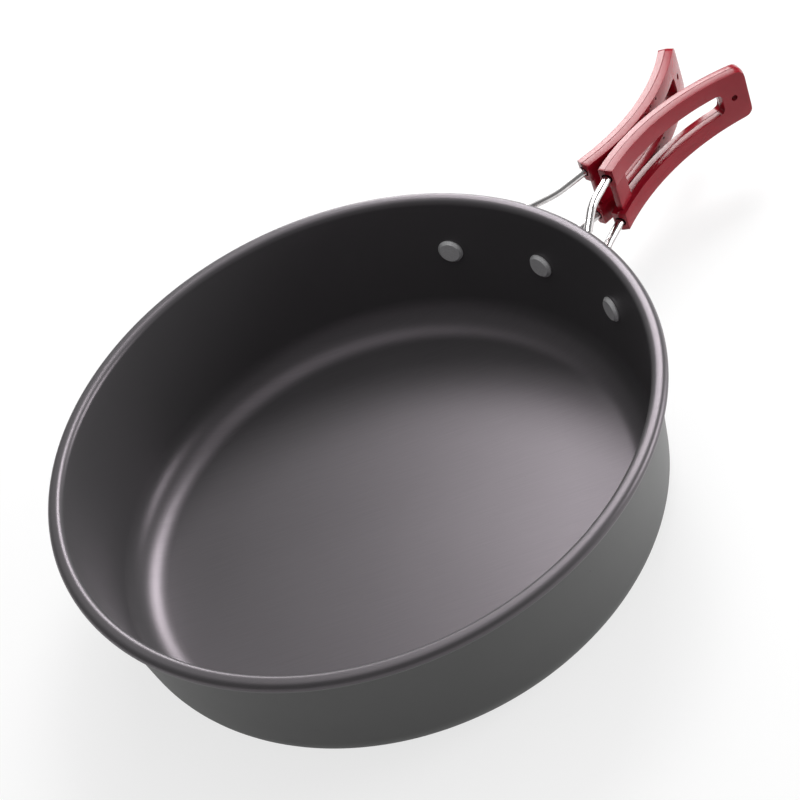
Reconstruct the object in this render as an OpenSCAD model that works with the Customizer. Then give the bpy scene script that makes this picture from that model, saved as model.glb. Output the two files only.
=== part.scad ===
// Deep camping frying pan with a handle in two halves that fold round the wall.
// Origin: middle of the underside of the base. +Z up, +X towards the handle.

/* [Pan] */
// Outer diameter of the rim
pan_d = 200; // [180:1:240]
// Height from the underside of the base to the top of the rim
pan_h = 52.6; // [49:0.2:70]
// Thickness of the aluminium sheet
sheet = 1.5; // [1:0.1:2.2]
// Lean of the wall from upright, in degrees
wall_lean = 6.3; // [3:0.1:9]
// Outer radius of the bottom corner
corner_r = 13.5; // [9:0.5:17]
// How far the rolled rim stands out from the wall below it
rim_reach = 3.9; // [3.2:0.1:5]
// Radius of the rolled edge of the rim
rim_roll = 1.93; // [1.5:0.01:2.4]
// Radius of the inner edge of the rim
rim_inner_r = 2.3; // [1:0.1:2.8]

/* [Rivets] */
// Turn from the middle rivet to each outer rivet, in degrees
rivet_turn = 21.9; // [17:0.1:26]
// Diameter of the shank
rivet_d = 3.2; // [2.4:0.1:4]
// Diameter of the flat head inside the pan
head_d = 8.8; // [7:0.1:10]
// Thickness of the flat head
head_t = 1.3; // [0.8:0.1:1.8]
// Bevel round the flat head
head_bevel = 0.9; // [0.1:0.05:1.1]
// Diameter of the upset tail outside the bracket
tail_d = 5.2; // [4.6:0.1:7]
// Thickness of the upset tail
tail_t = 1.3; // [0.8:0.1:2]

/* [Bracket] */
// Height of the middle of the bracket and of the handle
handle_z = 31.4; // [28:0.2:33]
// Thickness of the bracket plate
plate_t = 1.2; // [0.8:0.1:1.8]
// Height of the bracket plate
plate_h = 13; // [10:0.5:15]
// Plate beyond the outer rivets
plate_end = 7.5; // [6:0.5:10]
// Radius of the plate's corners
plate_corner = 4.5; // [1:0.25:5]
// Wall of a hinge eye round its bore
eye_wall = 1.2; // [0.8:0.1:1.8]
// Metal between a hinge bore and the face of the plate
eye_skin = 0.4; // [0.3:0.1:1]

/* [Wires] */
// Diameter of the wire
wire_d = 3; // [2.4:0.1:3.4]
// Radius of the bend between the hinge leg and an arm, at the middle of the wire
corner_bend = 3; // [2.6:0.1:4]
// Radius of the bend in plan, at the middle of the wire
plan_bend = 25; // [15:1:45]
// Straight wire between the bend in plan and the grip
wire_lead = 12.5; // [6:0.1:16]
// Length of wire inside a grip
wire_in_len = 13.8; // [10:0.2:18]

/* [Grips] */
// Distance of the grips' pan end from the hinge, along the handle
grip_from_hinge = 31.2; // [28:0.1:45]
// Length of a grip along its bow
grip_len = 67; // [55:0.2:80]
// Thickness of a grip
grip_t = 5.3; // [4.8:0.1:7]
// Height of a grip's face at its pan end
grip_h = 26.8; // [25:0.2:29]
// Height of a grip's face at its far end
grip_h_far = 19.6; // [17:0.2:26]
// Radius of the bow in plan, at the middle of the grip's thickness
bow_r = 85.8; // [70:0.2:140]
// From the pan end to where the two halves meet, along the bow
meet_len = 19; // [12:0.1:26]
// Height of each arm of a grip at its pan end
arm_h = 6.8; // [6:0.1:8]
// Height of each arm of a grip beside the far end of its window
arm_h_far = 6.2; // [4:0.1:7.5]
// Length of the window's end block
end_block = 10.4; // [8.4:0.1:12]
// Radius of the far corners
far_corner = 3.8; // [2:0.1:6]
// Radius of the window's far corners
window_corner = 1.6; // [0.6:0.1:2.4]
// How far the parting line stands out past the top and bottom edges of the faces
crest = 0.45; // [0.2:0.05:1.2]
// How far the parting line narrows the window on each side
window_crest = 0.3; // [0.2:0.05:0.8]
// Rounding of the edges of the faces
edge_round = 0.45; // [0.2:0.05:0.7]
// Diameter of the hang hole
hang_d = 2.3; // [1.6:0.1:3]
// Distance of the hang hole from the far end, along the bow
hang_in = 5.9; // [4.5:0.1:6.4]

/* [Web] */
// Thickness of the recessed web between the arms at the pan end
web_t = 2.4; // [1.6:0.1:3.4]
// Distance of the web from the pan end, along the bow
web_from_end = 2; // [1:0.1:4]
// Length of the web along the bow
web_len = 7.3; // [5:0.1:10]

/* [Motion] */
// Turn of each half from open to folded, in degrees
fold_turn = 130; // [90:1:130]

/* [Clearances] */
// Gap between parts that are riveted together
seat = 0.06; // [0.04:0.01:0.1]
// Gap round a rivet in its hole
rivet_play = 0.05; // [0.03:0.01:0.1]
// Gap round the wire in its hinge eye
hinge_play = 0.1; // [0.05:0.01:0.15]
// Gap round the wire in its socket
socket_play = 0.05; // [0.03:0.01:0.1]
// Gap at the blind end of a socket
socket_end_gap = 0.2; // [0.1:0.05:0.4]
// Gap between the two halves where they meet
halves_gap = 0.3; // [0.2:0.05:0.6]
// Gap between a hinge eye and the bend of its wire, up and down
eye_end_play = 1.5; // [1:0.1:2.5]

/* [Hidden] */

$fn = 96;
arc_steps = 10;      // straight steps in a round stretch of an outline
bow_steps = 22;      // stations along a bent plate
corner_steps = 5;    // stations round a far corner
block_steps = 3;     // stations beside a window's end block
cut_over = 1;        // how far a cutter runs past what it cuts
curl_end = -125;     // where the rolled sheet of the rim ends, as an angle round its roll
bar_over = 0.1;      // how far straight wire runs into a bend
bend_swell = 0.01;   // how much thicker a bend is, so that the two meet cleanly
mouth_r_extra = 0.4; // how much wider the mouth of a socket is
mouth_deep = 1.2;    // depth of that mouth
web_sunk = 0.8;      // how far the web runs into the arms

wire_r = wire_d / 2;
bore_r = wire_r + hinge_play;
eye_r = bore_r + eye_wall;
arm_z = grip_h / 2 - arm_h / 2;
eye_len = 2 * (arm_z - corner_bend - eye_end_play);

// Radius of the outside of the wall at a height
function wall_r(z) = pan_d / 2 - rim_reach - (pan_h - 2 * rim_roll - z) * tan(wall_lean);

// Radius of the outer face of the bracket plate at a height
function plate_face_r(z) = wall_r(z) + (seat + plate_t) / cos(wall_lean);

// The hinges stand in front of the plate, half way between the rivets
hinge_turn = rivet_turn / 2;
hinge_r = plate_face_r(handle_z + eye_len / 2) + eye_skin + bore_r;
hinge = [hinge_r * cos(hinge_turn), -hinge_r * sin(hinge_turn)];

// Right half of the handle in plan: the bow's middle, and the way the wire takes to it
function degrees(along) = along / bow_r * 180 / PI;
bow_start = -degrees(meet_len);
pan_end_x = hinge.x + grip_from_hinge;
bow_mid = [pan_end_x - bow_r * sin(bow_start), -(halves_gap / 2 + grip_t / 2 + bow_r)];
entry = bow_mid + bow_r * [sin(bow_start), cos(bow_start)];
entry_dir = -bow_start;
knee = entry - wire_lead * [cos(entry_dir), sin(entry_dir)];
leave_dir = atan2(knee.y - hinge.y, knee.x - hinge.x);
knee_turn = leave_dir - entry_dir;
knee_cut = plan_bend * tan(knee_turn / 2);

// Half height of the window where it would meet the pan end, and at its far end
window_to = grip_len - end_block;
window_near = grip_h / 2 - arm_h;
window_far = grip_h / 2 + (grip_h_far - grip_h) / 2 * window_to / grip_len - arm_h_far;

// Points of an arc round c, from angle a to angle b
function arc(c, r, a, b) = [for (i = [0:arc_steps])
    let (q = a + (b - a) * i / arc_steps) c + r * [cos(q), sin(q)]];

// ---- pan ----

// Half section of the pan: base, corner, wall and the sheet that is rolled over at the rim
module pan_section() {
    lean_x = cos(wall_lean);
    tangent_z = corner_r * (1 - sin(wall_lean));
    corner_mid = [wall_r(tangent_z) - corner_r * lean_x, corner_r];
    roll_mid = [pan_d / 2 - rim_roll, pan_h - rim_roll];
    edge_z = pan_h - rim_inner_r;
    edge_mid = [wall_r(edge_z) + (rim_inner_r - sheet) / lean_x, edge_z];
    curl_tip = roll_mid + rim_roll * [cos(curl_end), sin(curl_end)];
    crevice_z = curl_tip.y + sheet * 0.7;
    polygon(concat(
        [[0, 0]],
        arc(corner_mid, corner_r, -90, -wall_lean),
        [[wall_r(crevice_z), crevice_z], [curl_tip.x, crevice_z]],
        arc(roll_mid, rim_roll, curl_end, 90),
        arc(edge_mid, rim_inner_r, 90, 180 - wall_lean),
        arc(corner_mid, corner_r - sheet, -wall_lean, -90),
        [[0, sheet]]));
}

// Puts its children on the outside of the wall at a rivet, with +Z square to the wall
module at_rivet(turn) {
    rotate([0, 0, turn])
        translate([wall_r(handle_z), 0, handle_z])
            rotate([0, 90 + wall_lean, 0]) children();
}

module rivet_hole(turn) {
    at_rivet(turn)
        cylinder(h = 2 * (sheet + plate_t + head_t), d = rivet_d + 2 * rivet_play, center = true);
}

module pan_body() {
    color("#5f595c") difference() {
        rotate_extrude() pan_section();
        for (side = [-1:1]) rivet_hole(side * rivet_turn);
    }
}

// ---- rivets ----

// One rivet: bevelled flat head inside the pan, shank, and upset tail outside the plate
module rivet(turn) {
    hollow = pow(head_d / 2, 2) / (2 * (wall_r(handle_z) - sheet));
    head_z = -sheet - seat - hollow;
    tail_z = 2 * seat + plate_t;
    color("#b9b7b8") at_rivet(turn) rotate_extrude() polygon([
        [0, head_z - head_t],
        [head_d / 2 - head_bevel, head_z - head_t],
        [head_d / 2, head_z - head_t + head_bevel],
        [head_d / 2, head_z],
        [rivet_d / 2, head_z],
        [rivet_d / 2, tail_z],
        [tail_d / 2, tail_z],
        [tail_d / 2, tail_z + tail_t * 0.4],
        [tail_d * 0.42, tail_z + tail_t * 0.8],
        [tail_d * 0.25, tail_z + tail_t],
        [0, tail_z + tail_t]]);
}

module rivet_left() rivet(rivet_turn);
module rivet_middle() rivet(0);
module rivet_right() rivet(-rivet_turn);

// ---- bracket ----

// Plate that lies on the wall: a leaning band, cut to a strip with round corners
module plate() {
    low = -plate_h / 2;
    high = plate_h / 2;
    inner = seat / cos(wall_lean);
    side = wall_r(handle_z) * sin(rivet_turn) + plate_end - plate_corner;
    intersection() {
        rotate([0, 0, -90]) rotate_extrude(angle = 180) polygon([
            [wall_r(handle_z + low - cut_over) + inner, low - cut_over],
            [plate_face_r(handle_z + low - cut_over), low - cut_over],
            [plate_face_r(handle_z + high + cut_over), high + cut_over],
            [wall_r(handle_z + high + cut_over) + inner, high + cut_over]]);
        rotate([90, 0, 90]) linear_extrude(pan_d) polygon(concat(
            arc([side, high - plate_corner], plate_corner, 0, 90),
            arc([-side, high - plate_corner], plate_corner, 90, 180),
            arc([-side, low + plate_corner], plate_corner, 180, 270),
            arc([side, low + plate_corner], plate_corner, 270, 360)));
    }
}

// Solid hinge eye with the web that carries it, before its bore
module eye() {
    low = handle_z - eye_len / 2;
    high = handle_z + eye_len / 2;
    translate([hinge_r, 0, low]) cylinder(h = eye_len, r = eye_r);
    rotate([90, 0, 0]) linear_extrude(2 * eye_r - eye_wall / 3, center = true) polygon([
        [plate_face_r(low) - plate_t / 2, low],
        [hinge_r, low],
        [hinge_r, high],
        [plate_face_r(high) - plate_t / 2, high]]);
}

module handle_bracket() {
    color("#c9c8c6") difference() {
        union() {
            translate([0, 0, handle_z]) plate();
            for (side = [-1, 1]) rotate([0, 0, side * hinge_turn]) eye();
        }
        for (side = [-1, 1]) rotate([0, 0, side * hinge_turn])
            translate([hinge_r, 0, handle_z]) cylinder(h = plate_h + 2, r = bore_r, center = true);
        for (side = [-1:1]) rivet_hole(side * rivet_turn);
    }
}

// ---- handle halves, drawn for the right hand one ----

// Straight wire along +X, which runs a little into the bends at its ends
module bar(length) {
    translate([-bar_over, 0, 0]) rotate([0, 90, 0]) cylinder(h = length + 2 * bar_over, r = wire_r);
}

// Arc of wire round the origin, from the +X axis towards +Y
module bent_bar(radius, turn) {
    rotate_extrude(angle = turn) translate([radius, 0]) circle(wire_r + bend_swell);
}

// Upper arm of the wire, with the bend that joins it to the hinge leg
module wire_arm() {
    run = norm(knee - hinge) - corner_bend - knee_cut;
    bend_mid = entry - (wire_lead - knee_cut) * [cos(entry_dir), sin(entry_dir)]
        + plan_bend * [sin(entry_dir), -cos(entry_dir)];
    in_turn = degrees(wire_in_len);
    translate([hinge.x, hinge.y, arm_z]) rotate([0, 0, leave_dir]) {
        translate([corner_bend, 0, -corner_bend])
            rotate([90, 0, 0]) rotate([0, 0, 90]) bent_bar(corner_bend, 90);
        translate([corner_bend, 0, 0]) bar(run);
    }
    translate([bend_mid.x, bend_mid.y, arm_z])
        rotate([0, 0, 90 + entry_dir]) bent_bar(plan_bend, knee_turn);
    translate([entry.x, entry.y, arm_z]) rotate([0, 0, entry_dir])
        translate([knee_cut - wire_lead, 0, 0]) bar(wire_lead - knee_cut);
    translate([bow_mid.x, bow_mid.y, arm_z])
        rotate([0, 0, 90 - bow_start - in_turn]) bent_bar(bow_r, in_turn);
}

module wire() {
    leg = 2 * (arm_z - corner_bend);
    color("#d6d4d2") translate([0, 0, handle_z]) {
        translate([hinge.x, hinge.y, leg / 2]) rotate([0, 90, 0]) bar(leg);
        wire_arm();
        mirror([0, 0, 1]) wire_arm();
    }
}

// Stations of an edge that runs straight and then turns through a round corner: [along, half height]
function edge_stations(from, to, h_from, slope, corner, steps) = concat(
    [for (i = [0:steps]) let (s = from + (to - corner - from) * i / steps)
        [s, h_from + slope * (s - from)]],
    [for (i = [1:corner_steps]) let (q = 90 * i / corner_steps)
        [to - corner + corner * sin(q), h_from + slope * (to - corner - from) - corner * (1 - cos(q))]]);

// Outline of the grip at one level, as a closed loop of [along, height]. draw_in is how far its
// outer edge lies inside the parting line, and open_out how far its window is wider than there.
function fork_loop(draw_in, open_out) =
    let (
        window_end = window_to - window_crest + open_out,
        window_r = window_corner + open_out,
        outer_slope = (grip_h_far - grip_h) / 2 / grip_len,
        window_slope = (window_far - window_near) / window_to,
        window = edge_stations(draw_in, window_end, window_near - window_crest + open_out,
            window_slope, window_r, bow_steps),
        edge_h = grip_h / 2 + crest - draw_in,
        block = edge_stations(window_end, grip_len - draw_in, edge_h + outer_slope * window_end,
            outer_slope, far_corner - draw_in * 0.5, block_steps),
        top = concat([for (st = window) [st[0], edge_h + outer_slope * st[0]]],
            [for (i = [1:len(block) - 1]) block[i]]))
    concat(top, turned(flipped(top)), flipped(window), turned(window));

function turned(list) = [for (i = [len(list) - 1:-1:0]) list[i]];
function flipped(list) = [for (p = list) [p[0], -p[1]]];

// Bowed fork: loops at several radii, from the concave face to the convex one, joined by bands
// and closed by the two faces. Each level is [radius, draw_in, open_out].
module bowed_fork(levels) {
    w = bow_steps + corner_steps;
    n = w + block_steps + corner_steps;
    m = 2 * (n + 1) + 2 * (w + 1);
    points = [for (level = levels, p = fork_loop(level[1], level[2]))
        let (a = bow_start + degrees(p[0]))
        [bow_mid.x + level[0] * sin(a), bow_mid.y + level[0] * cos(a), p[1]]];
    bands = [for (l = [0:len(levels) - 2], k = [0:m - 1], half = [0, 1])
        let (here = l * m + k, next = l * m + (k + 1) % m)
        half == 0 ? [here, next + m, next] : [here, here + m, next + m]];
    // Places in a loop: outer edge above (k) and below, window edge above and below
    function below(k) = 2 * n + 1 - k;
    function window_below(k) = 2 * n + 2 + k;
    function window_above(k) = 2 * n + 3 + 2 * w - k;
    face = concat(
        [for (k = [0:w - 1]) [k, window_above(k), window_above(k + 1), k + 1]],
        [for (k = [0:w - 1]) [window_below(k), below(k), below(k + 1), window_below(k + 1)]],
        [[w + 1, w, window_above(w), window_below(w), below(w), below(w + 1)]],
        [for (k = [w + 1:n - 1]) [k, below(k), below(k + 1), k + 1]]);
    last = (len(levels) - 1) * m;
    polyhedron(points, concat(bands,
        [for (f = face) turned(f)],
        [for (f = face) [for (k = f) k + last]]));
}

// Puts its children at mid thickness, a way along the bow, with +X towards the convex face
module at_bow(along) {
    translate([bow_mid.x, bow_mid.y, 0])
        rotate([0, 0, 90 - bow_start - degrees(along)]) translate([bow_r, 0, 0]) children();
}

// Socket of one arm: a bore that follows the bow, with a wider mouth
module socket() {
    depth = degrees(wire_in_len + socket_end_gap);
    before = degrees(cut_over);
    translate([bow_mid.x, bow_mid.y, 0])
        rotate([0, 0, 90 - bow_start - depth])
            rotate_extrude(angle = depth + before)
                translate([bow_r, 0]) circle(wire_r + socket_play);
    translate([entry.x, entry.y, 0]) rotate([0, 90, entry_dir])
        translate([0, 0, -cut_over])
            cylinder(h = cut_over + mouth_deep, r = wire_r + socket_play + mouth_r_extra);
}

// Grip: a bowed fork with its parting line at mid thickness, closed again between its arms at
// the pan end by a thin web that lies below both faces
module grip() {
    half_t = grip_t / 2;
    shoulder = half_t - edge_round;
    window_flare = window_crest + edge_round;
    color("#8c2433") translate([0, 0, handle_z]) {
        difference() {
            bowed_fork([
                [bow_r - half_t, crest + edge_round, window_flare],
                [bow_r - shoulder, crest, window_crest],
                [bow_r, 0, 0],
                [bow_r + shoulder, crest, window_crest],
                [bow_r + half_t, crest + edge_round, window_flare]]);
            for (flip = [0, 1]) mirror([0, 0, flip]) translate([0, 0, arm_z]) socket();
            at_bow(grip_len - hang_in)
                rotate([0, 90, 0]) cylinder(h = 2 * grip_t, d = hang_d, center = true);
        }
        at_bow(web_from_end + web_len / 2)
            cube([web_t, web_len, 2 * (window_near + web_sunk)], center = true);
    }
}

module left_half() {
    mirror([0, 1, 0]) children();
}

module wire_left() left_half() wire();
module wire_right() wire();
module grip_left() left_half() grip();
module grip_right() grip();

pan_body();
handle_bracket();
rivet_left();
rivet_middle();
rivet_right();
wire_left();
wire_right();
grip_left();
grip_right();
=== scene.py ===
# %% [markdown]
# # A deep camping pan with a folding handle
# The pan is pressed from one aluminium sheet and hard anodised, which leaves it warm dark grey
# and satin. Its handle is two stainless wires with red moulded grips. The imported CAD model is
# the fixed frame: it holds every size and every joint, and this lesson adds the looks.

# %% Load the frame
import math

import bmesh
import bpy
from mathutils import Matrix, Vector
from mathutils.bvhtree import BVHTree


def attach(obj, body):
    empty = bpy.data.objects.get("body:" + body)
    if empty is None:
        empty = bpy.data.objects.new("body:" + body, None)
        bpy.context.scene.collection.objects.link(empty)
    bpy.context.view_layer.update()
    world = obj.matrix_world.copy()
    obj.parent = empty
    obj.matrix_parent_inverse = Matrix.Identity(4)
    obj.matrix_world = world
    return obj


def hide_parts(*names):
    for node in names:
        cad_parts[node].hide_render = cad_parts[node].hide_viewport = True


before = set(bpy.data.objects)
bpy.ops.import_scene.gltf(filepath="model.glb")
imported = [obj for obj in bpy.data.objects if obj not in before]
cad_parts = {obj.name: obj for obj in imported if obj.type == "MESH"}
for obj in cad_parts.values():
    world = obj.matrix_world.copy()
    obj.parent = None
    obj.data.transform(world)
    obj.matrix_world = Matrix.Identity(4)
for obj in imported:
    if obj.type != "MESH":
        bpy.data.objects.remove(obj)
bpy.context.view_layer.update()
MM = 0.001
# Distances in metres below which places count as one, are welded, or are near enough to pick
SAME = 1e-6
WELD = 2e-6
NEAR = 1e-5

# %% [markdown]
# ## The camera
# The photograph was taken from high on the pan's left, with the camera rolled so that the
# handle points up and to the right. Everything else is judged through this camera, so it is
# settled first: a place, a point that it looks at, and a roll.

# %% Camera
CAMERA_PLACE = Vector((-0.2553, -0.4257, 0.5286))
CAMERA_AIM = Vector((0.02845, 0.01273, 0.0250))
CAMERA_ROLL = math.radians(-24.15)
CAMERA_LENS = 100.48

lens = bpy.data.cameras.new("camera")
lens.lens = CAMERA_LENS
lens.sensor_fit = "AUTO"
lens.clip_start = 0.01
camera = bpy.data.objects.new("camera", lens)
bpy.context.scene.collection.objects.link(camera)
looking = (CAMERA_AIM - CAMERA_PLACE).to_track_quat("-Z", "Y").to_matrix()
camera.matrix_world = (Matrix.Translation(CAMERA_PLACE)
                       @ (looking @ Matrix.Rotation(CAMERA_ROLL, 3, "Z")).to_4x4())
bpy.context.scene.camera = camera
bpy.context.view_layer.update()
print("camera is", round((CAMERA_AIM - CAMERA_PLACE).length, 3), "m from the pan")

# %% [markdown]
# ## Image points
# These are places in the 800 x 800 picture where something of the object shows. A ray through
# such a point, in the camera's own axes, finds the place on a surface that carries a detail.

# %% Image points and the ray
POINTS = {
    "object_left": (48.0, 508.5),
    "object_right": (752.4, 107.5),
    "object_top": (671.0, 49.0),
    "object_bottom": (333.0, 748.7),
    "rim_right": (668.6, 374.5),
    "rim_top": (441.5, 193.0),
    "rivet_left": (451.5, 252.0),
    "rivet_middle": (541.5, 265.5),
    "rivet_right": (614.0, 309.0),
    "hang_hole_right": (731.9, 97.1),
    "window_far_right": (724.5, 111.5),
    "left_grip_near_end": (575.6, 163.8),
    "right_grip_near_end": (604.1, 169.9),
    "dimple_upper": (655.9, 99.3),
    "dimple_lower": (664.9, 141.4),
    "dimple_inner": (663.5, 134.7),
}
PICTURE = 800
SEARCH_FROM = 0.3
SEARCH_STEPS = 700


def camera_ray(x, y):
    """Start and direction, in the frame, of the line of sight through an image point."""
    along = Vector((x - PICTURE / 2 + lens.shift_x * PICTURE,
                    PICTURE / 2 - y + lens.shift_y * PICTURE,
                    -PICTURE * lens.lens / lens.sensor_width))
    turn = camera.matrix_world.to_3x3()
    return camera.matrix_world.translation, (turn @ along).normalized()


def place_on(carrier, name):
    """Where the line of sight through a named point meets a finished piece, or passes nearest."""
    mesh = bmesh.new()
    mesh.from_mesh(carrier.data)
    tree = BVHTree.FromBMesh(mesh)
    mesh.free()
    start, way = camera_ray(*POINTS[name])
    hit = tree.ray_cast(start, way)[0]
    if hit is None:
        steps = [start + way * (SEARCH_FROM + MM * i) for i in range(SEARCH_STEPS)]
        hit = min((tree.find_nearest(p) for p in steps), key=lambda found: found[3])[0]
    return hit


def seen_at(place):
    """Image point at which a place in the frame shows."""
    local = camera.matrix_world.inverted() @ place
    scale = PICTURE * lens.lens / lens.sensor_width / -local.z
    return (PICTURE / 2 - lens.shift_x * PICTURE + local.x * scale,
            PICTURE / 2 + lens.shift_y * PICTURE - local.y * scale)


print(len(POINTS), "image points")

# %% [markdown]
# ## Helpers for modelling
# Blender's operators act on whatever is selected, so each step starts from nothing selected
# and picks its vertices, edges or faces by their place. These few helpers keep that short.

# %% Helpers
def start_piece(name):
    """The primitive that was just added becomes a named piece, open for editing."""
    piece = bpy.context.object
    piece.name = name
    piece.data.name = name
    bpy.ops.object.mode_set(mode="EDIT")
    return piece


def finish_piece(piece):
    """Leaves edit mode with the object at the origin and its place in its mesh."""
    if bpy.context.mode == "EDIT_MESH":
        bpy.ops.object.mode_set(mode="OBJECT")
    only(piece)
    bpy.ops.object.transform_apply(location=True, rotation=True, scale=True)
    return piece


def only(piece):
    """Selects one object alone and makes it active."""
    bpy.ops.object.select_all(action="DESELECT")
    piece.select_set(True)
    bpy.context.view_layer.objects.active = piece


def pick(test, kind="VERT"):
    """In edit mode, selects the vertices, edges or faces whose middle passes a test."""
    bpy.ops.mesh.select_mode(type=kind)
    bpy.ops.mesh.select_all(action="DESELECT")
    mesh = bmesh.from_edit_mesh(bpy.context.object.data)
    count = 0
    if kind == "VERT":
        for v in mesh.verts:
            v.select = test(v.co)
            count += v.select
    elif kind == "EDGE":
        for e in mesh.edges:
            e.select = test(e.verts[0].co) and test(e.verts[1].co)
            count += e.select
    else:
        for f in mesh.faces:
            f.select = test(f.calc_center_median())
            count += f.select
    mesh.select_flush_mode()
    bmesh.update_edit_mesh(bpy.context.object.data)
    return count


def modify(piece, kind, **settings):
    """Adds a modifier with its settings and applies it at once."""
    only(piece)
    modifier = piece.modifiers.new(kind.lower(), kind)
    for key, value in settings.items():
        setattr(modifier, key, value)
    bpy.ops.object.modifier_apply(modifier=modifier.name)


def cut(piece, cutter, operation="DIFFERENCE"):
    """Takes a cutter out of a piece, or adds it, and removes the cutter."""
    modify(piece, "BOOLEAN", operation=operation, object=cutter, solver="EXACT")
    bpy.data.objects.remove(cutter)


def smooth(piece, degrees=35):
    """Smooth shading, with edges sharper than an angle kept crisp."""
    only(piece)
    bpy.ops.object.shade_smooth_by_angle(angle=math.radians(degrees))


print("helpers are ready")

# %% [markdown]
# ## The pan
# A pressed pan is a surface of revolution, so its half section is drawn once and spun. The
# section starts in the middle of the underside, goes round the bottom corner and up the
# leaning wall, follows the rim where the sheet is rolled over, and comes back down inside.

# %% Sizes of the pan
PAN_R = 100.0
PAN_H = 52.6
SHEET = 1.5
LEAN = math.radians(6.3)
CORNER_R = 13.5
RIM_REACH = 3.9
ROLL_R = 1.93
EDGE_R = 2.3
CURL_TO = -125
print("pan is", 2 * PAN_R, "mm across and", PAN_H, "mm deep")


def wall_r(z):
    """Radius of the outside of the wall at a height, in millimetres."""
    return PAN_R - RIM_REACH - (PAN_H - 2 * ROLL_R - z) * math.tan(LEAN)


def arc(middle, radius, start, end, steps):
    """Points of an arc in the half section, angles in degrees."""
    turns = [math.radians(start + (end - start) * i / steps) for i in range(steps + 1)]
    return [(middle[0] + radius * math.cos(t), middle[1] + radius * math.sin(t)) for t in turns]


# %% Half section of the pan
lean_x = math.cos(LEAN)
lean_deg = math.degrees(LEAN)
tangent_z = CORNER_R * (1 - math.sin(LEAN))
corner_mid = (wall_r(tangent_z) - CORNER_R * lean_x, CORNER_R)
roll_mid = (PAN_R - ROLL_R, PAN_H - ROLL_R)
edge_z = PAN_H - EDGE_R
edge_mid = (wall_r(edge_z) + (EDGE_R - SHEET) / lean_x, edge_z)
curl_tip = (roll_mid[0] + ROLL_R * math.cos(math.radians(CURL_TO)),
            roll_mid[1] + ROLL_R * math.sin(math.radians(CURL_TO)))
crevice_z = curl_tip[1] + SHEET * 0.7
outer_wall = [(wall_r(z), z) for z in (20, 28, 36, 42, 45, 47)]
inner_wall = [(wall_r(z) - SHEET / lean_x, z) for z in (44, 36, 28, 20)]
base_in = [(r, SHEET) for r in (60, 40, 20, 6, 1)]
section = ([(0, 0), (1, 0), (6, 0), (20, 0), (40, 0), (60, 0)]
           + arc(corner_mid, CORNER_R, -90, -lean_deg, 16) + outer_wall
           + [(wall_r(crevice_z), crevice_z), (curl_tip[0], crevice_z)]
           + arc(roll_mid, ROLL_R, CURL_TO, 90, 16)
           + arc(edge_mid, EDGE_R, 90, 180 - lean_deg, 10) + inner_wall
           + arc(corner_mid, CORNER_R - SHEET, -lean_deg, -90, 16) + base_in + [(0, SHEET)])
print(len(section), "points in the half section of the pan")

# %% Spin the pan
PAN_STEPS = 288

bpy.ops.object.select_all(action="DESELECT")
bpy.ops.mesh.primitive_plane_add(size=MM, location=(0, 0, 0))
pan = start_piece("pan")
bpy.ops.mesh.select_all(action="SELECT")
bpy.ops.mesh.merge(type="CENTER")
place = section[0]
for r, z in section[1:]:
    step = ((r - place[0]) * MM, 0, (z - place[1]) * MM)
    bpy.ops.mesh.extrude_region_move(TRANSFORM_OT_translate={"value": step})
    place = (r, z)
bpy.ops.mesh.select_all(action="SELECT")
bpy.ops.mesh.spin(steps=PAN_STEPS, angle=2 * math.pi, center=(0, 0, 0), axis=(0, 0, 1))
bpy.ops.mesh.select_all(action="SELECT")
bpy.ops.mesh.remove_doubles(threshold=WELD)
bpy.ops.mesh.normals_make_consistent(inside=False)
finish_piece(pan)
print("pan has", len(pan.data.polygons), "faces")

# %% Rivet holes in the wall
HANDLE_Z = 31.4
RIVET_TURN = 21.9
HOLE_R = 1.65

for side in (-1, 0, 1):
    turn = math.radians(side * RIVET_TURN)
    middle = Vector((wall_r(HANDLE_Z) * math.cos(turn), wall_r(HANDLE_Z) * math.sin(turn), HANDLE_Z))
    bpy.ops.mesh.primitive_cylinder_add(vertices=32, radius=HOLE_R * MM, depth=6 * MM,
                                        location=middle * MM,
                                        rotation=(0, math.pi / 2 + LEAN, turn))
    cutter = bpy.context.object
    cut(pan, cutter)
smooth(pan, 30)
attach(pan, "pan")
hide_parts("pan_body")
print("pan with its holes has", len(pan.data.polygons), "faces")

# %% [markdown]
# ## The grips
# Each grip is a long fork of red plastic, moulded round the two ends of its wire. Its sides
# slope away from a parting line at mid thickness, where the two halves of the mould met, and
# the whole fork is bowed. It is easiest to model flat and straight, with the parting line in
# the plane Y = 0, and to bend at the end.

# %% Sizes of a grip
GRIP_LEN = 67.0
GRIP_T = 5.3
GRIP_H = 26.8
GRIP_H_FAR = 19.6
BOW_R = 85.8
MEET_LEN = 19.0
ARM_H = 6.8
ARM_H_FAR = 6.2
END_BLOCK = 10.4
FAR_CORNER = 3.8
WINDOW_CORNER = 1.6
CREST = 0.45
WINDOW_CREST = 0.3
EDGE_ROUND = 0.45
EDGE_ANGLE = math.radians(52)
CRISP = 30
ARM_Z = (GRIP_H - ARM_H) / 2
BOW_MID = Vector((146.320, 88.6, HANDLE_Z))
near_x = -MEET_LEN
far_x = GRIP_LEN - MEET_LEN
window_x = far_x - END_BLOCK - WINDOW_CREST


def window_h(x):
    """Half height of the window at the parting line."""
    near = GRIP_H / 2 - ARM_H
    far_from = GRIP_LEN - END_BLOCK
    far = GRIP_H / 2 + (GRIP_H_FAR - GRIP_H) / 2 * far_from / GRIP_LEN - ARM_H_FAR
    return near + (far - near) * (x - near_x) / far_from - WINDOW_CREST


def outer_h(x):
    """Half height of the outline at the parting line."""
    return GRIP_H / 2 + CREST + (GRIP_H_FAR - GRIP_H) / 2 * (x - near_x) / GRIP_LEN


print("window from", near_x, "to", window_x, "mm from the middle of the bow")

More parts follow.
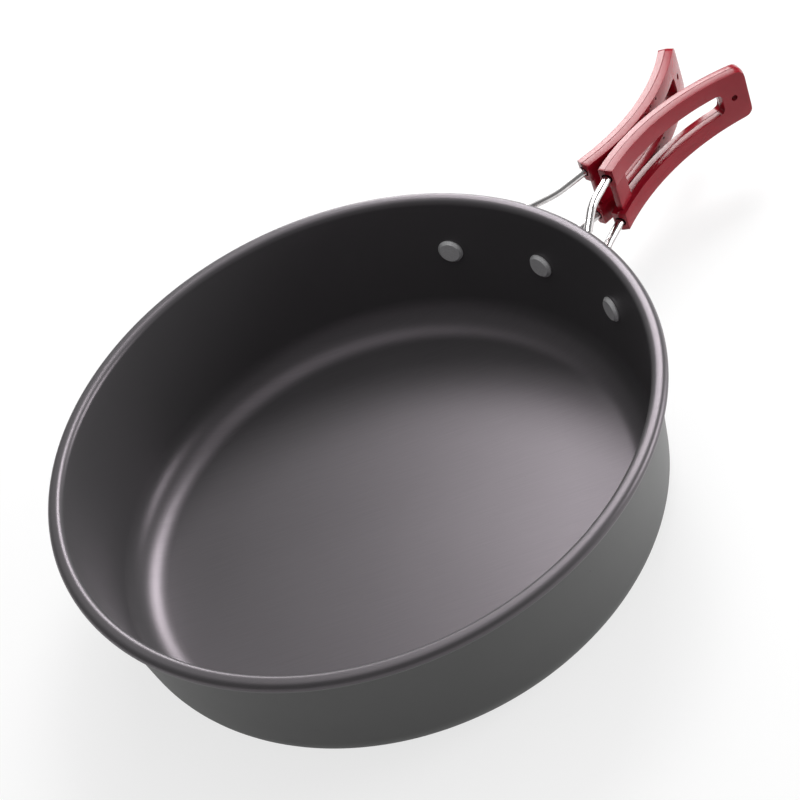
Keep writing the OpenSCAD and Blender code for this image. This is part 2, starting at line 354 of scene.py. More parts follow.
# %% Outline of the fork, flat
def slice_at(place, way):
    """Cuts all faces in edit mode by a plane, without filling or clearing."""
    bpy.ops.mesh.select_all(action="SELECT")
    bpy.ops.mesh.bisect(plane_co=Vector(place) * MM, plane_no=Vector(way).normalized())


bpy.ops.object.select_all(action="DESELECT")
bpy.ops.mesh.primitive_plane_add(size=MM, location=((near_x + far_x) / 2 * MM, 0, 0),
                                 rotation=(math.pi / 2, 0, 0))
grip = bpy.context.object
grip.scale = (GRIP_LEN, 2 * outer_h(near_x), 1)
finish_piece(grip)
start_piece("grip_left_moulded")
pick(lambda p: p.x > 0)
taper = outer_h(far_x) / outer_h(near_x)
bpy.ops.transform.resize(value=(1, 1, taper), center_override=(0, 0, 0))
slice_at((window_x, 0, 0), (1, 0, 0))
for side in (1, -1):
    rise = window_h(far_x) - window_h(near_x)
    slice_at((near_x, 0, side * window_h(near_x)), (side * rise, 0, -GRIP_LEN))
pick(lambda p: p.x < window_x * MM and abs(p.z) < window_h(p.x / MM) * MM, "FACE")
bpy.ops.mesh.delete(type="FACE")
pick(lambda p: abs(p.x - window_x * MM) < SAME and abs(abs(p.z) - window_h(window_x) * MM) < NEAR)
bpy.ops.mesh.bevel(affect="VERTICES", offset=WINDOW_CORNER * MM, segments=6)
pick(lambda p: abs(p.x - far_x * MM) < SAME and abs(abs(p.z) - outer_h(far_x) * MM) < NEAR)
bpy.ops.mesh.bevel(affect="VERTICES", offset=FAR_CORNER * MM, segments=8)
print("outline has", len(bmesh.from_edit_mesh(grip.data).verts), "vertices")

# %% [markdown]
# An injection mould opens along its parting line, so every side of the grip leans a little
# away from that line. One inset that also lifts the face gives this draft all round. The
# outline is first cut across at many stations, because a bow needs edges to bend at.

# %% Drafted sides, from the parting line to the convex face
BOW_STATIONS = 48

for i in range(1, BOW_STATIONS):
    slice_at((near_x + GRIP_LEN * i / BOW_STATIONS, 0, 0), (1, 0, 0))
bpy.ops.mesh.select_mode(type="FACE")
bpy.ops.mesh.select_all(action="SELECT")
bpy.ops.mesh.normals_make_consistent(inside=False)
mesh = bmesh.from_edit_mesh(grip.data)
faces_out = next(iter(mesh.faces)).normal.y > 0
depth = GRIP_T / 2 * MM * (1 if faces_out else -1)
bpy.ops.mesh.inset(thickness=WINDOW_CREST * MM, depth=depth, use_even_offset=True)
extra = (CREST - WINDOW_CREST) * MM
on_face = GRIP_T / 2 * MM - NEAR


def outside_edge(p, band):
    """True on the outer edge of the convex face, above (band 1) or below (band -1)."""
    return abs(p.y) > on_face and p.z * band > (outer_h(p.x / MM) - WINDOW_CREST - 0.25) * MM


for band in (1, -1):
    pick(lambda p: outside_edge(p, band))
    bpy.ops.transform.translate(value=(0, 0, -band * extra))
pick(lambda p: abs(p.y) > on_face and p.x < (near_x + WINDOW_CREST + 0.1) * MM)
bpy.ops.transform.translate(value=(extra, 0, 0))
pick(lambda p: abs(p.y) > on_face and p.x > (far_x - WINDOW_CREST - 0.1) * MM)
bpy.ops.transform.translate(value=(-extra, 0, 0))
bpy.ops.object.mode_set(mode="OBJECT")
modify(grip, "MIRROR", use_axis=(False, True, False), use_clip=True, merge_threshold=NEAR)
bpy.ops.object.mode_set(mode="EDIT")
bpy.ops.mesh.select_all(action="SELECT")
bpy.ops.mesh.remove_doubles(threshold=WELD)
bpy.ops.mesh.normals_make_consistent(inside=False)
bpy.ops.object.mode_set(mode="OBJECT")
modify(grip, "BEVEL", width=EDGE_ROUND * MM, segments=3, limit_method="ANGLE",
       angle_limit=EDGE_ANGLE, harden_normals=False)
print("fork with rounded faces has", len(grip.data.polygons), "faces")

# %% [markdown]
# Where the two halves of the mould met, a fine line runs right round the grip, and it shows
# clearly along the pale top. It is a real groove here: the crest is bevelled into a narrow
# band, and the middle of the band is pushed in.

# %% Parting line
GROOVE_W = 0.26
GROOVE_DEEP = 0.16

bpy.ops.object.mode_set(mode="EDIT")
pick(lambda p: abs(p.y) < SAME, "EDGE")
bpy.ops.mesh.bevel(affect="EDGES", offset=GROOVE_W / 2 * MM, segments=2)
count = pick(lambda p: abs(p.y) < SAME)
bpy.ops.transform.shrink_fatten(value=-GROOVE_DEEP * MM)
bpy.ops.object.mode_set(mode="OBJECT")
print("parting line has", count, "vertices; ends now reach",
      round(max(v.co.x for v in grip.data.vertices) / MM - far_x, 3), "mm past the outline")

# %% [markdown]
# A short web ties the two arms together near the pan. It lies back from both faces, and its
# edges are eased, so it is a block with bevelled long edges that is joined to the fork.

# %% Web between the arms
WEB_T = 2.4
WEB_FROM_END = 2.0
WEB_LEN = 7.3
WEB_EASE = 0.5
WEB_STATIONS = 6
WEB_INTO_ARM = 1.5

web_reach = 2 * (window_h(near_x) + WEB_INTO_ARM)
bpy.ops.object.select_all(action="DESELECT")
bpy.ops.mesh.primitive_cube_add(size=MM, scale=(WEB_LEN, WEB_T, web_reach),
                                location=((near_x + WEB_FROM_END + WEB_LEN / 2) * MM, 0, 0))
web = start_piece("web")
for i in range(1, WEB_STATIONS):
    slice_at((-0.5 + i / WEB_STATIONS, 0, 0), (1, 0, 0))
finish_piece(web)
bpy.ops.object.mode_set(mode="EDIT")
ends = (near_x + WEB_FROM_END, near_x + WEB_FROM_END + WEB_LEN)
for x in ends:
    pick(lambda p: abs(p.x - x * MM) < SAME, "EDGE")
    bpy.ops.mesh.select_mode(type="EDGE")
    mesh = bmesh.from_edit_mesh(web.data)
    for e in mesh.edges:
        if e.select and abs(e.verts[0].co.y - e.verts[1].co.y) > SAME:
            e.select = False
    bmesh.update_edit_mesh(web.data)
    bpy.ops.mesh.bevel(affect="EDGES", offset=WEB_EASE * MM, segments=3)
bpy.ops.object.mode_set(mode="OBJECT")
cut(grip, web, "UNION")
print("fork with its web has", len(grip.data.polygons), "faces")

# %% [markdown]
# The wire goes deep into each arm. Its socket is a close round bore, and the mouth of the
# socket is wider, so a dark ring shows round the wire. A small hole in the far block is for a
# hanging loop. All are drilled with cylinders while the grip is still straight.

# %% Wire sockets and hanging hole
WIRE_IN_LEN = 13.8
SOCKET_R = 1.56
MOUTH_R = 1.95
MOUTH_DEEP = 1.2
HANG_IN = 5.9
HANG_R = 1.15


def drill(radius, start, end, z):
    """Drills along the arm from one place to another, in millimetres from the bow's middle."""
    bpy.ops.object.select_all(action="DESELECT")
    bpy.ops.mesh.primitive_cylinder_add(vertices=48, radius=radius * MM, depth=(end - start) * MM,
                                        location=((start + end) / 2 * MM, 0, z * MM),
                                        rotation=(0, math.pi / 2, 0))
    cut(grip, bpy.context.object)


for z in (ARM_Z, -ARM_Z):
    drill(SOCKET_R, near_x - 1, near_x + WIRE_IN_LEN + 0.3, z)
    drill(MOUTH_R, near_x - 1, near_x + MOUTH_DEEP, z)
bpy.ops.object.select_all(action="DESELECT")
bpy.ops.mesh.primitive_cylinder_add(vertices=40, radius=HANG_R * MM, depth=2 * GRIP_T * MM,
                                    location=((far_x - HANG_IN) * MM, 0, 0),
                                    rotation=(math.pi / 2, 0, 0))
cut(grip, bpy.context.object)
print("drilled fork has", len(grip.data.polygons), "faces")

# %% Bow the grip and set it in its place
finish_piece(grip)
span = [min(v.co.x for v in grip.data.vertices), max(v.co.x for v in grip.data.vertices)]
modify(grip, "SIMPLE_DEFORM", deform_method="BEND", deform_axis="Z",
       angle=-(span[1] - span[0]) / MM / BOW_R)
only(grip)
bpy.ops.transform.translate(value=Vector((BOW_MID.x, -BOW_MID.y + BOW_R, HANDLE_Z)) * MM)
grip.scale = (1, -1, 1)
grip.location = (grip.location.x, -grip.location.y, grip.location.z)
finish_piece(grip)
bpy.ops.object.mode_set(mode="EDIT")
bpy.ops.mesh.select_all(action="SELECT")
bpy.ops.mesh.normals_make_consistent(inside=False)
bpy.ops.object.mode_set(mode="OBJECT")

# %% [markdown]
# The convex face has rows of small round dimples that keep the halves from slipping on each
# other. Three of them are placed by their points in the picture, on the finished grip, and
# each row runs on from its own dimple at one pitch. The arm is plain beyond the upper dimple, so
# the outer row ends there and the inner row just short of it. Both rows move out together as
# far as it takes to keep the inner one on the flat of the arm, clear of the window's edge.

# %% Dimples
DIMPLE_R = 0.52
DIMPLE_DEEP = 0.55
DIMPLE_PITCH = 4.15
ROW_FROM = 15.0
ROW_REACH = 1.9


def along_grip(place):
    """Distance from the near end along the bow, and height over the handle's middle, in mm."""
    turn = math.atan2(place.x / MM - BOW_MID.x, BOW_MID.y - place.y / MM)
    return turn * BOW_R + MEET_LEN, place.z / MM - HANDLE_Z


def arm_middle(s):
    """Height of the middle of an arm at a distance from the near end."""
    x = near_x + s
    return (outer_h(x) + window_h(x)) / 2


found = {name: along_grip(place_on(grip, name))
         for name in ("dimple_upper", "dimple_lower", "dimple_inner")}
ROW_OUT = (abs(found["dimple_upper"][1]) - arm_middle(found["dimple_upper"][0])
           + abs(found["dimple_lower"][1]) - arm_middle(found["dimple_lower"][0])) / 2
ROW_IN = abs(found["dimple_inner"][1]) - arm_middle(found["dimple_inner"][0])
move_out = max(0, -ROW_REACH - ROW_IN)
ROW_OUT, ROW_IN = ROW_OUT + move_out, ROW_IN + move_out
print("dimples found at", {k: [round(c, 1) for c in v] for k, v in found.items()},
      "rows stand", round(ROW_OUT, 2), "and", round(ROW_IN, 2), "mm from the middle of the arm")
convex_r = BOW_R + GRIP_T / 2
outer_end = found["dimple_upper"][0] + DIMPLE_PITCH / 4
inner_end = found["dimple_upper"][0] - DIMPLE_PITCH / 4

bpy.ops.object.select_all(action="DESELECT")
bpy.ops.mesh.primitive_cylinder_add(vertices=16, radius=DIMPLE_R * MM, depth=2 * DIMPLE_DEEP * MM,
                                    location=(0, 0, 0), rotation=(math.pi / 2, 0, 0))
first = finish_piece(start_piece("dimples"))
dimple_places = []
for side, start in ((1, found["dimple_upper"][0]), (-1, found["dimple_lower"][0])):
    for offset, row_end in ((ROW_OUT, outer_end), (ROW_IN, inner_end)):
        s = start - DIMPLE_PITCH * int((start - ROW_FROM) / DIMPLE_PITCH)
        while s < row_end:
            turn = (s - MEET_LEN) / BOW_R
            place = Vector((BOW_MID.x + convex_r * math.sin(turn),
                            BOW_MID.y - convex_r * math.cos(turn),
                            HANDLE_Z + side * (arm_middle(s) + offset))) * MM
            dimple_places.append((place, turn, offset))
            s += DIMPLE_PITCH
print(len(dimple_places), "places for dimples")

# %% Cut the dimples
copies = []
for place, turn, _ in dimple_places:
    only(first)
    bpy.ops.object.duplicate()
    copy = bpy.context.object
    copy.location = place
    copy.rotation_euler = (0, 0, turn)
    copies.append(copy)
bpy.data.objects.remove(first)
bpy.ops.object.select_all(action="DESELECT")
for copy in copies:
    copy.select_set(True)
bpy.context.view_layer.objects.active = copies[0]
bpy.ops.object.join()
cutter = bpy.context.object
finish_piece(cutter)
cut(grip, cutter)
smooth(grip, CRISP)
print(len(copies), "dimples cut; the grip has", len(grip.data.polygons), "faces")

# %% Right grip
left = grip
only(left)
bpy.ops.object.duplicate()
right = bpy.context.object
right.name = "grip_right_moulded"
right.data.name = "grip_right_moulded"
right.scale = (1, -1, 1)
finish_piece(right)
bpy.ops.object.mode_set(mode="EDIT")
bpy.ops.mesh.select_all(action="SELECT")
bpy.ops.mesh.normals_make_consistent(inside=False)
bpy.ops.object.mode_set(mode="OBJECT")
smooth(right, CRISP)
for piece, side in ((right, "right"), (left, "left")):
    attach(piece, side + "_handle")
    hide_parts("grip_" + side)
print("both grips ride on their handle bodies")

# %% [markdown]
# ## Effects that several finishes share
# Rolled sheet, drawn wire and moulded plastic all show lines, flecks or a slow change of
# tone. Each effect is a node group with named sockets, built once, and every material gives
# it its own numbers. A group only makes values and masks, and the shader stays outside.

# %% Helper for node groups
def new_group(name, inputs, outputs):
    """An empty node group with named input and output sockets."""
    group = bpy.data.node_groups.new(name, "ShaderNodeTree")
    for title, kind, value in inputs:
        socket = group.interface.new_socket(title, in_out="INPUT", socket_type=kind)
        if value is not None:
            socket.default_value = value
    for title, kind in outputs:
        group.interface.new_socket(title, in_out="OUTPUT", socket_type=kind)
    return group, group.nodes.new("NodeGroupInput"), group.nodes.new("NodeGroupOutput")


def add(tree, kind, **settings):
    """Adds a node and sets its properties."""
    node = tree.nodes.new(kind)
    for key, value in settings.items():
        setattr(node, key, value)
    return node


VALUE, VECTOR = "NodeSocketFloat", "NodeSocketVector"
print("groups take values and vectors")

# %% Drawn lines: noise stretched one way, as left by rolling, drawing or brushing
lines_group, source, sink = new_group(
    "drawn_lines", (("Vector", VECTOR, None), ("Turn", VALUE, 0.0), ("Stretch", VECTOR, (1, 1, 1))),
    (("Lines", VALUE),))
turner = add(lines_group, "ShaderNodeVectorRotate", rotation_type="Z_AXIS")
stretch = add(lines_group, "ShaderNodeVectorMath", operation="MULTIPLY")
noise = add(lines_group, "ShaderNodeTexNoise")
noise.inputs["Scale"].default_value = 1
noise.inputs["Detail"].default_value = 3
noise.inputs["Roughness"].default_value = 0.65
lines_group.links.new(source.outputs["Vector"], turner.inputs["Vector"])
lines_group.links.new(source.outputs["Turn"], turner.inputs["Angle"])
lines_group.links.new(turner.outputs["Vector"], stretch.inputs[0])
lines_group.links.new(source.outputs["Stretch"], stretch.inputs[1])
lines_group.links.new(stretch.outputs["Vector"], noise.inputs["Vector"])
lines_group.links.new(noise.outputs["Fac"], sink.inputs["Lines"])
print("drawn_lines is ready")

# %% Flecks: a few small round spots
flecks_group, source, sink = new_group(
    "flecks", (("Vector", VECTOR, None), ("Scale", VALUE, 100.0), ("Size", VALUE, 0.1),
               ("Share", VALUE, 0.2)), (("Mask", VALUE),))
cells = add(flecks_group, "ShaderNodeTexVoronoi", feature="F1")
near = add(flecks_group, "ShaderNodeMapRange")
near.inputs["To Min"].default_value = 1
near.inputs["To Max"].default_value = 0
pull = add(flecks_group, "ShaderNodeSeparateColor")
chosen = add(flecks_group, "ShaderNodeMath", operation="LESS_THAN")
both = add(flecks_group, "ShaderNodeMath", operation="MULTIPLY")
flecks_group.links.new(source.outputs["Vector"], cells.inputs["Vector"])
flecks_group.links.new(source.outputs["Scale"], cells.inputs["Scale"])
flecks_group.links.new(cells.outputs["Distance"], near.inputs["Value"])
flecks_group.links.new(source.outputs["Size"], near.inputs["From Max"])
flecks_group.links.new(cells.outputs["Color"], pull.inputs["Color"])
flecks_group.links.new(pull.outputs["Red"], chosen.inputs[0])
flecks_group.links.new(source.outputs["Share"], chosen.inputs[1])
flecks_group.links.new(near.outputs["Result"], both.inputs[0])
flecks_group.links.new(chosen.outputs["Value"], both.inputs[1])
flecks_group.links.new(both.outputs["Value"], sink.inputs["Mask"])
print("flecks is ready")

# %% Mottle: a slow change between two values
mottle_group, source, sink = new_group(
    "mottle", (("Vector", VECTOR, None), ("Scale", VALUE, 50.0), ("Low", VALUE, 0.0),
               ("High", VALUE, 1.0)), (("Value", VALUE),))
cloud = add(mottle_group, "ShaderNodeTexNoise")
cloud.inputs["Detail"].default_value = 4
spread = add(mottle_group, "ShaderNodeMapRange")
spread.inputs["From Min"].default_value = 0.3
spread.inputs["From Max"].default_value = 0.7
mottle_group.links.new(source.outputs["Vector"], cloud.inputs["Vector"])
mottle_group.links.new(source.outputs["Scale"], cloud.inputs["Scale"])
mottle_group.links.new(cloud.outputs["Fac"], spread.inputs["Value"])
mottle_group.links.new(source.outputs["Low"], spread.inputs["To Min"])
mottle_group.links.new(source.outputs["High"], spread.inputs["To Max"])
mottle_group.links.new(spread.outputs["Result"], sink.inputs["Value"])
print("mottle is ready")

# %% Helpers for materials
def new_material(name):
    """A material with its shader and a coordinate node that reads the object's own place."""
    material = bpy.data.materials.new(name)
    material.use_nodes = True
    tree = material.node_tree
    where = add(tree, "ShaderNodeTexCoord").outputs["Object"]
    return material, tree, tree.nodes["Principled BSDF"], where


def effect(tree, group, where, **values):
    """Places a group in a material with its own values and returns its output."""
    node = add(tree, "ShaderNodeGroup", node_tree=group)
    tree.links.new(where, node.inputs["Vector"])
    for title, value in values.items():
        node.inputs[title].default_value = value
    return node.outputs[0]


def between(tree, value, low, high):
    """A colour between two colours, by a value."""
    mix = add(tree, "ShaderNodeMix", data_type="RGBA")
    tree.links.new(value, mix.inputs["Factor"])
    for socket, colour in ((mix.inputs[6], low), (mix.inputs[7], high)):
        if isinstance(colour, tuple):
            socket.default_value = (*colour, 1)
        else:
            tree.links.new(colour, socket)
    return mix.outputs[2]


def ranged(tree, value, low, high):
    """A value stretched from noise's usual range to a range of its own."""
    node = add(tree, "ShaderNodeMapRange")
    node.inputs["From Min"].default_value = 0.3
    node.inputs["From Max"].default_value = 0.7
    node.inputs["To Min"].default_value = low
    node.inputs["To Max"].default_value = high
    tree.links.new(value, node.inputs["Value"])
    return node.outputs["Result"]


def relief(tree, shader, height, depth, strength, under=None):
    """Turns a height into a bump of a real depth in metres on the shader's normal."""
    bump = add(tree, "ShaderNodeBump")
    bump.inputs["Distance"].default_value = depth
    bump.inputs["Strength"].default_value = strength
    tree.links.new(height, bump.inputs["Height"])
    if under is not None:
        tree.links.new(under.outputs["Normal"], bump.inputs["Normal"])
    tree.links.new(bump.outputs["Normal"], shader.inputs["Normal"])
    return bump


def flat_only(tree, value):
    """Keeps a value on level surfaces and fades it to its middle, one half, on steep ones."""
    level = add(tree, "ShaderNodeSeparateXYZ")
    size = add(tree, "ShaderNodeMath", operation="ABSOLUTE")
    mix = add(tree, "ShaderNodeMix", data_type="FLOAT")
    mix.inputs[2].default_value = 0.5
    tree.links.new(add(tree, "ShaderNodeNewGeometry").outputs["Normal"], level.inputs["Vector"])
    tree.links.new(level.outputs["Z"], size.inputs[0])
    tree.links.new(size.outputs["Value"], mix.inputs["Factor"])
    tree.links.new(value, mix.inputs[3])
    return mix.outputs[0]


def dress(piece, material):
    """Gives a piece one material only."""
    piece.data.materials.clear()
    piece.data.materials.append(material)


print("material helpers are ready")

# %% [markdown]
# ## Hard anodised aluminium
# Hard anodising grows a thick dark grey oxide out of the aluminium. The oxide is a dull glaze,
# not bare metal: most of its tone is even, and its weak satin reflection is a little pink. The
# lines left by the rolling mill still run straight across the base, with a few dark flecks. The
# outside is blasted before it is anodised, so it is duller and more neutral than the inside.

# %% Hard anodised
GRAIN_TURN = math.radians(40)


def anodised(name, low, high, line, gloss, tint, rough):
    """An anodised finish: two skin tones, the tone of its lines, gloss, tint and roughness."""
    material, tree, shader, where = new_material(name)
    shader.inputs["Metallic"].default_value = 0.1
    shader.inputs["Specular IOR Level"].default_value = gloss
    shader.inputs["Specular Tint"].default_value = (*tint, 1)
    grain = effect(tree, lines_group, where, Turn=GRAIN_TURN, Stretch=(60, 2600, 60))
    rolled = flat_only(tree, grain)
    cloudy = effect(tree, mottle_group, where, Scale=28.0, Low=0.0, High=1.0)
    spots = effect(tree, flecks_group, where, Scale=150.0, Size=0.055, Share=0.16)
    lined = between(tree, ranged(tree, rolled, 0.0, 0.5), between(tree, cloudy, low, high), line)
    tree.links.new(between(tree, spots, lined, (0.02, 0.019, 0.02)), shader.inputs["Base Color"])
    tree.links.new(ranged(tree, rolled, rough + 0.025, rough - 0.025), shader.inputs["Roughness"])
    relief(tree, shader, rolled, 0.00003, 0.35)
    return material


dress(pan, anodised("hard_anodised", (0.058, 0.0575, 0.059), (0.065, 0.064, 0.066),
                    (0.085, 0.082, 0.085), 0.76, (1.0, 0.86, 0.97), 0.36))
pan.data.materials.append(anodised("blasted_anodised", (0.082, 0.083, 0.082), (0.089, 0.090, 0.089),
                                   (0.100, 0.100, 0.099), 0.4, (1, 1, 1), 0.42))
outside = 0
for face in pan.data.polygons:
    middle, away = face.center, face.normal
    outward = away.x * middle.x + away.y * middle.y
    side_out = middle.z < crevice_z * MM and outward > 0.03 * middle.xy.length
    if side_out or (away.z < -0.5 and middle.z < SHEET / 2 * MM):
        face.material_index = 1
        outside += 1
print("pan is anodised, with", outside, "faces on its duller outside")

# %% [markdown]
# ## Red plastic
# The grips are glossy glass-filled nylon in a deep red. Up close the gloss wavers a little,
# as moulded plastic does, and the red is not perfectly even. The colour stays deep because
# the plastic itself reflects little at right angles, and the pale tops are a reflection.

# %% Red plastic
red, tree, shader, where = new_material("red_plastic")
shader.inputs["IOR"].default_value = 1.5
shader.inputs["Specular IOR Level"].default_value = 0.3
uneven = effect(tree, mottle_group, where, Scale=120.0, Low=0.0, High=1.0)
skin_noise = effect(tree, mottle_group, where, Scale=900.0, Low=0.0, High=1.0)
dust = effect(tree, flecks_group, where, Scale=420.0, Size=0.07, Share=0.10)
tone = between(tree, uneven, (0.215, 0.0025, 0.010), (0.245, 0.0045, 0.014))
tree.links.new(between(tree, dust, tone, (0.32, 0.02, 0.03)), shader.inputs["Base Color"])
tree.links.new(ranged(tree, skin_noise, 0.20, 0.25), shader.inputs["Roughness"])
relief(tree, shader, skin_noise, 0.00002, 0.12)
for piece in (left, right):
    dress(piece, red)
print("grips are", red.name)

# %% [markdown]
# ## Wire, bracket and rivets
# The wires are polished stainless steel, drawn through a die, so faint lines run along them.
# The bracket is brushed stainless sheet. The rivets are bare aluminium, a little duller, with
# the fine rings and dents of the tool that set them.

# %% Polished wire
steel, tree, shader, where = new_material("polished_wire")
shader.inputs["Metallic"].default_value = 1
drawn = effect(tree, lines_group, where, Turn=0.0, Stretch=(90, 3200, 3200))
tree.links.new(between(tree, ranged(tree, drawn, 0.0, 1.0), (0.58, 0.56, 0.56), (0.68, 0.665, 0.66)),
               shader.inputs["Base Color"])
tree.links.new(ranged(tree, drawn, 0.11, 0.20), shader.inputs["Roughness"])
relief(tree, shader, drawn, 0.00001, 0.25)
for node in ("wire_left", "wire_right"):
    dress(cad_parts[node], steel)
print("wires are", steel.name)

# %% Brushed bracket
brushed, tree, shader, where = new_material("brushed_stainless")
shader.inputs["Metallic"].default_value = 1
strokes = effect(tree, lines_group, where, Turn=0.0, Stretch=(140, 140, 4200))
tree.links.new(between(tree, ranged(tree, strokes, 0.0, 1.0), (0.50, 0.49, 0.485), (0.62, 0.61, 0.60)),
               shader.inputs["Base Color"])
tree.links.new(ranged(tree, strokes, 0.24, 0.36), shader.inputs["Roughness"])
relief(tree, shader, strokes, 0.00002, 0.35)
dress(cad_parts["handle_bracket"], brushed)
print("bracket is", brushed.name)

# %% Bare rivets
bare, tree, shader, where = new_material("bare_aluminium")
shader.inputs["Metallic"].default_value = 0.5
dents = effect(tree, mottle_group, where, Scale=1600.0, Low=0.0, High=1.0)
tree.links.new(between(tree, dents, (0.76, 0.76, 0.77), (0.86, 0.86, 0.87)), shader.inputs["Base Color"])
tree.links.new(ranged(tree, dents, 0.36, 0.46), shader.inputs["Roughness"])
relief(tree, shader, dents, 0.00002, 0.3)
for node in ("rivet_left", "rivet_middle", "rivet_right"):
    dress(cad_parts[node], bare)
print("rivets are", bare.name)

# %% [markdown]
# ## Studio
# The photograph is cut out on white. A plain pale floor carries a faint shadow, and what the
# camera sees of it is lifted to white with Light Path. Reflections see less than half of that
# lift, and it adds nothing to the diffuse light on the object.

# %% Floor
FLOOR_WHITE = 0.75
FLOOR_MIRRORED = 0.45


def seen_directly(tree):
    """One for camera rays, less for glossy and transmission rays, zero for diffuse light."""
    rays = add(tree, "ShaderNodeLightPath")
    total = rays.outputs["Is Camera Ray"]
    for kind in ("Is Glossy Ray", "Is Transmission Ray"):
        part = add(tree, "ShaderNodeMath", operation="MULTIPLY")
        part.inputs[1].default_value = FLOOR_MIRRORED
        plus = add(tree, "ShaderNodeMath", operation="MAXIMUM")
        tree.links.new(rays.outputs[kind], part.inputs[0])
        tree.links.new(total, plus.inputs[0])
        tree.links.new(part.outputs["Value"], plus.inputs[1])
        total = plus.outputs["Value"]
    return total


bpy.ops.object.select_all(action="DESELECT")
bpy.ops.mesh.primitive_plane_add(size=20, location=(0, 0, 0))
floor = bpy.context.object
floor.name = "floor"
white, tree, shader, where = new_material("white_floor")
shader.inputs["Base Color"].default_value = (0.9, 0.9, 0.9, 1)
shader.inputs["Roughness"].default_value = 0.9
glow = add(tree, "ShaderNodeEmission")
lift = add(tree, "ShaderNodeMix", data_type="FLOAT")
lift.inputs[2].default_value = 0
lift.inputs[3].default_value = FLOOR_WHITE
tree.links.new(seen_directly(tree), lift.inputs["Factor"])
blend = add(tree, "ShaderNodeMixShader")
tree.links.new(lift.outputs[0], blend.inputs["Fac"])
tree.links.new(shader.outputs["BSDF"], blend.inputs[1])
tree.links.new(glow.outputs["Emission"], blend.inputs[2])
tree.links.new(blend.outputs["Shader"], tree.nodes["Material Output"].inputs["Surface"])
dress(floor, white)
print("floor is", white.name)

# %% World
WORLD = 0.25

world = bpy.data.worlds.new("studio")
bpy.context.scene.world = world
world.use_nodes = True
background = world.node_tree.nodes["Background"]
background.inputs["Color"].default_value = (1, 1, 1, 1)
background.inputs["Strength"].default_value = WORLD
print("world is an even", WORLD)

# %% [markdown]
# Both drafted halves of each grip's top shine pale, and they mirror two places behind the
# handle, one high and one low, so a softbox stands at each. A third, near the pan, gives the
# base its gradient, a fourth lights the outside from the right, and one hangs overhead.

# %% Lamps
LAMP_AIM = Vector((0.10, 0.0, 0.03))


def softbox(name, azimuth, height, distance, radius, strength):
    """A round area lamp that faces the handle. Its strength is watts over area and over pi."""
    lamp = bpy.data.lights.new(name, "AREA")
    lamp.shape = "DISK"
    lamp.size = 2 * radius
    lamp.energy = strength * math.pi * radius ** 2 * math.pi
    azimuth, height = math.radians(azimuth), math.radians(height)
    way = Vector((math.cos(height) * math.cos(azimuth), math.cos(height) * math.sin(azimuth),
                  math.sin(height)))
    holder = bpy.data.objects.new(name, lamp)
    bpy.context.scene.collection.objects.link(holder)
    holder.matrix_world = (Matrix.Translation(LAMP_AIM + way * distance)
                           @ way.to_track_quat("Z", "Y").to_matrix().to_4x4())


softbox("high_softbox", 28, 46, 1.0, 0.23, 11.5)
softbox("low_softbox", 49, 20, 1.0, 0.21, 9.5)
softbox("base_softbox", 44, 51, 0.65, 0.15, 6.0)
softbox("side_softbox", -38, 13, 1.5, 0.42, 9.0)
softbox("top_softbox", 30, 84, 0.9, 0.50, 1.0)
bpy.context.scene.view_settings.view_transform = "Standard"
print("lamps are set")

# %% [markdown]
# ## Where the points really show
# Each named point is found where it really shows: among the vertices of the finished pieces that
# the camera can see.

# %% What shows where
shown_pieces = [pan, left, right] + [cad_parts[n] for n in (
    "wire_left", "wire_right", "handle_bracket", "rivet_left", "rivet_middle", "rivet_right")]


def tree_of(piece):
    """A search tree over a finished piece."""
    mesh = bmesh.new()
    mesh.from_mesh(piece.data)
    tree = BVHTree.FromBMesh(mesh)
    mesh.free()
    return tree


trees = [tree_of(piece) for piece in shown_pieces]
MOST_TRIED = 4000


def shows(place):
    """True where nothing stands between the camera and a place."""
    start = camera.matrix_world.translation
    way = place - start
    return all(tree.ray_cast(start, way.normalized(), way.length - 0.3 * MM)[0] is None
               for tree in trees)


def extreme(piece, key, test=lambda p: True):
    """Image point of the visible vertex that comes first by a key on its image point."""
    ranked = sorted((key(seen_at(v.co)), i)
                    for i, v in enumerate(piece.data.vertices) if test(v.co))
    for _, i in ranked[:MOST_TRIED]:
        if shows(piece.data.vertices[i].co):
            return seen_at(piece.data.vertices[i].co)
    return None


def middle_of(piece, test):
    """Image point of the middle of the visible vertices that pass a test."""
    places = [v.co for v in piece.data.vertices if test(v.co) and shows(v.co)]
    if not places:
        return None
    points = [seen_at(p) for p in places]
    return ((min(p[0] for p in points) + max(p[0] for p in points)) / 2,
            (min(p[1] for p in points) + max(p[1] for p in points)) / 2)


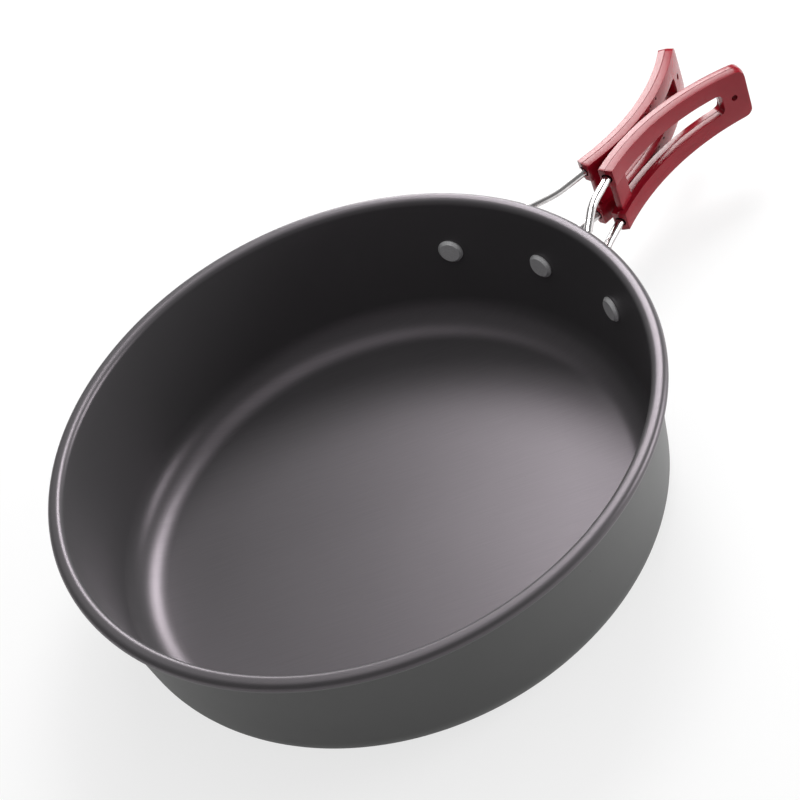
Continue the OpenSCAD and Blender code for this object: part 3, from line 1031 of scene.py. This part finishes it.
def on_right_grip(s, z):
    """A place on the concave face of the right grip."""
    turn = (s - MEET_LEN) / BOW_R
    r = BOW_R - GRIP_T / 2
    return Vector((BOW_MID.x + r * math.sin(turn), -BOW_MID.y + r * math.cos(turn),
                   HANDLE_Z + z)) * MM


def close_to(place, radius):
    """A test for vertices within a radius in millimetres."""
    return lambda p: (p - place).length < radius * MM


def near_end_line(p):
    """True at the parting line of the right grip's near end."""
    from_bow = math.hypot(p.x / MM - BOW_MID.x, p.y / MM + BOW_MID.y) - BOW_R
    return along_grip(Vector((p.x, -p.y, p.z)))[0] < 0.5 and abs(from_bow) < 0.3


print(len(trees), "pieces can stand in the way")

# %% Where each point shows
hole = on_right_grip(GRIP_LEN - HANG_IN, 0)
window_end = GRIP_LEN - END_BLOCK
window_far = on_right_grip(window_end, -arm_middle(window_end) + ARM_H_FAR / 2)
upper, lower, inner = (min((d for d in dimple_places if d[2] == row),
                           key=lambda d: (d[0] - place_on(left, name)).length)[0]
                       for name, row in (("dimple_upper", ROW_OUT), ("dimple_lower", ROW_OUT),
                                         ("dimple_inner", ROW_IN)))
heads = {side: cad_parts["rivet_" + side] for side in ("left", "middle", "right")}
shown = {
    "object_left": extreme(pan, lambda q: q[0]),
    "object_bottom": extreme(pan, lambda q: -q[1]),
    "object_right": extreme(right, lambda q: -q[0]),
    "object_top": extreme(left, lambda q: q[1]),
    "rim_right": extreme(pan, lambda q: -q[0], lambda p: p.z > 45 * MM),
    "rim_top": extreme(pan, lambda q: q[1]),
    "hang_hole_right": middle_of(right, close_to(hole, HANG_R + 0.1)),
    "window_far_right": middle_of(right, close_to(window_far, 1.2)),
    "left_grip_near_end": extreme(left, lambda q: q[0], lambda p: along_grip(p)[0] < 0.6),
    "right_grip_near_end": extreme(right, lambda q: q[1] + q[0], near_end_line),
    "dimple_upper": seen_at(upper),
    "dimple_lower": seen_at(lower),
    "dimple_inner": seen_at(inner),
}
for side, head in heads.items():
    shown["rivet_" + side] = middle_of(head, lambda p: True)
